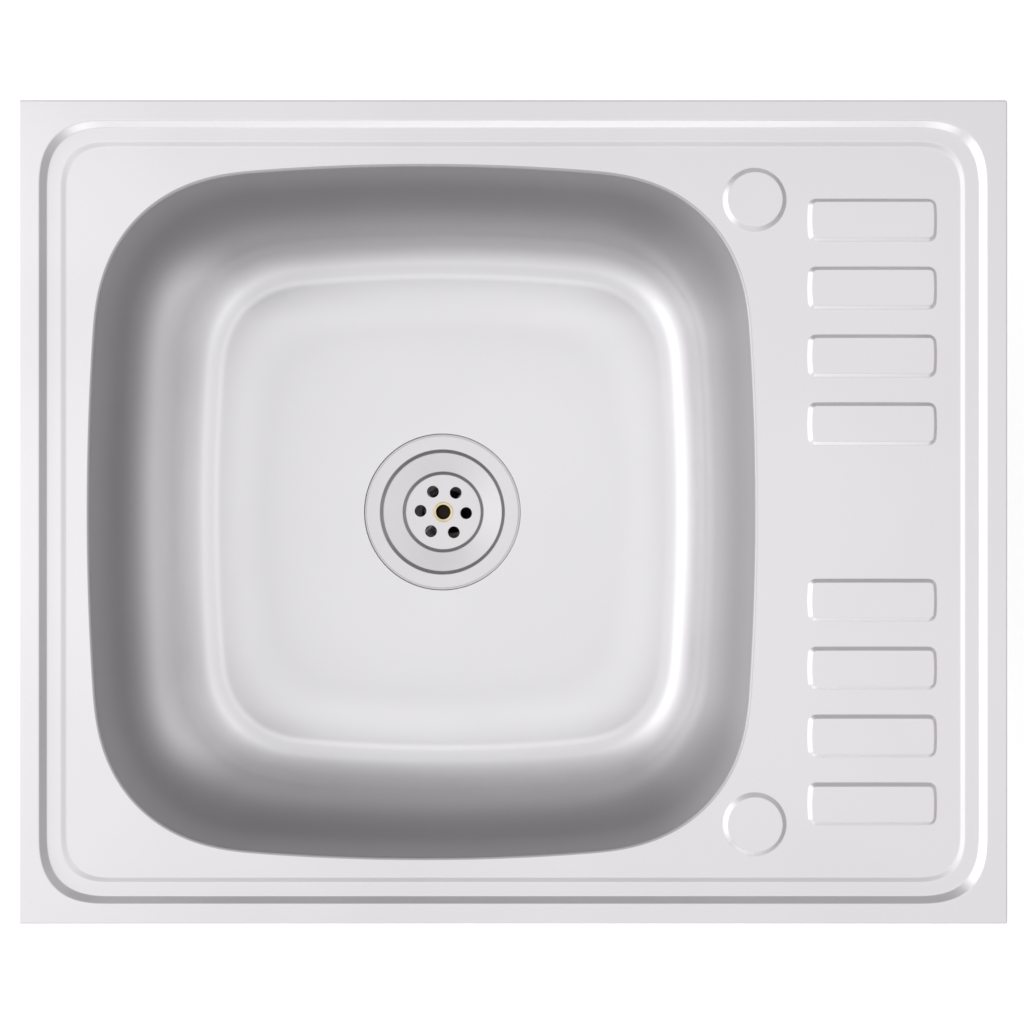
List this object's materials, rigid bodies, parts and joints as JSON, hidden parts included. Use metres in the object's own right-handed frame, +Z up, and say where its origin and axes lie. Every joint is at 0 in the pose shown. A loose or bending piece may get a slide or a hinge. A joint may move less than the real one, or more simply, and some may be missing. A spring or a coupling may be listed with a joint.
{
  "type": "kitchen sink",
  "caption": "Lay-on stainless kitchen sink with one deep bowl, a ribbed drainer, blank tap seats, a strainer waste and a height-adjustable bottle trap.",
  "frame": {"origin": "centre of the rectangular footprint, on the underside of the skirt's return flange, which lies on the cabinet's top edge; it is also the centre of the four cabinet screws", "axes": "+Z up out of the bowl, +X from the bowl towards the drainer (the longest side), +Y towards the wall behind the sink"},
  "size_m": [0.6, 0.5, 0.4394],
  "materials": {
    "deck_steel": "satin bead-blasted stainless steel",
    "bowl_steel": "satin drawn stainless steel",
    "strainer_steel": "fine satin stainless steel with turned rings",
    "zinc_steel": "zinc-plated steel",
    "brass": "turned brass",
    "black_rubber": "matt moulded rubber",
    "damping_pad": "matt bitumen damping sheet",
    "white_plastic": "moulded polypropylene"
  },
  "bodies": {
    "sink": {"deck_panel": "deck_steel", "bowl": "bowl_steel", "sound_pad": "damping_pad", "deck_stiffener": "zinc_steel", "corner_plates": "zinc_steel", "strainer_dish": "strainer_steel", "flange_gasket": "black_rubber", "lower_gasket": "black_rubber", "waste_body": "white_plastic", "screw_insert": "brass", "clamp_screw": "brass", "union_nut": "white_plastic", "tail_gasket": "black_rubber", "inlet_pipe": "white_plastic"},
    "trap_clamp": {"head_nut": "white_plastic", "head_washer": "black_rubber"},
    "trap": {"trap_head": "white_plastic", "outlet_nut": "white_plastic", "outlet_washer": "black_rubber"},
    "cup_seal": {"cup_gasket": "black_rubber"},
    "cup": {"trap_cup": "white_plastic"},
    "outlet": {"outlet_pipe": "white_plastic"},
    "rosette": {"wall_rosette": "white_plastic"}
  },
  "joints": [
    {"name": "trap_height", "type": "slide", "parent": "sink", "child": "trap_clamp", "axis": [0, 0, 1], "range_m": [-0.025, 0.025]},
    {"name": "trap_swivel", "type": "hinge", "parent": "trap_clamp", "child": "trap", "pos_m": [-0.0556, 0, -0.2397], "axis": [0, 0, 1], "range_deg": [-180, 180]},
    {"name": "cup_drop", "type": "slide", "parent": "trap", "child": "cup_seal", "axis": [0, 0, -1], "range_m": [0, 0.01]},
    {"name": "cup_turn", "type": "hinge", "parent": "cup_seal", "child": "cup", "pos_m": [-0.0556, 0, -0.3263], "axis": [0, 0, -1], "range_deg": [0, 720]},
    {"name": "outlet_slide", "type": "slide", "parent": "trap", "child": "outlet", "axis": [0, 1, 0], "range_m": [-0.014, 0.018]},
    {"name": "rosette_slide", "type": "slide", "parent": "outlet", "child": "rosette", "axis": [0, 1, 0], "range_m": [-0.08, 0]}
  ],
  "couplings": [
    {"joint": "cup_drop", "follows": "cup_turn", "m_per_rad": 0.00079575}
  ]
}
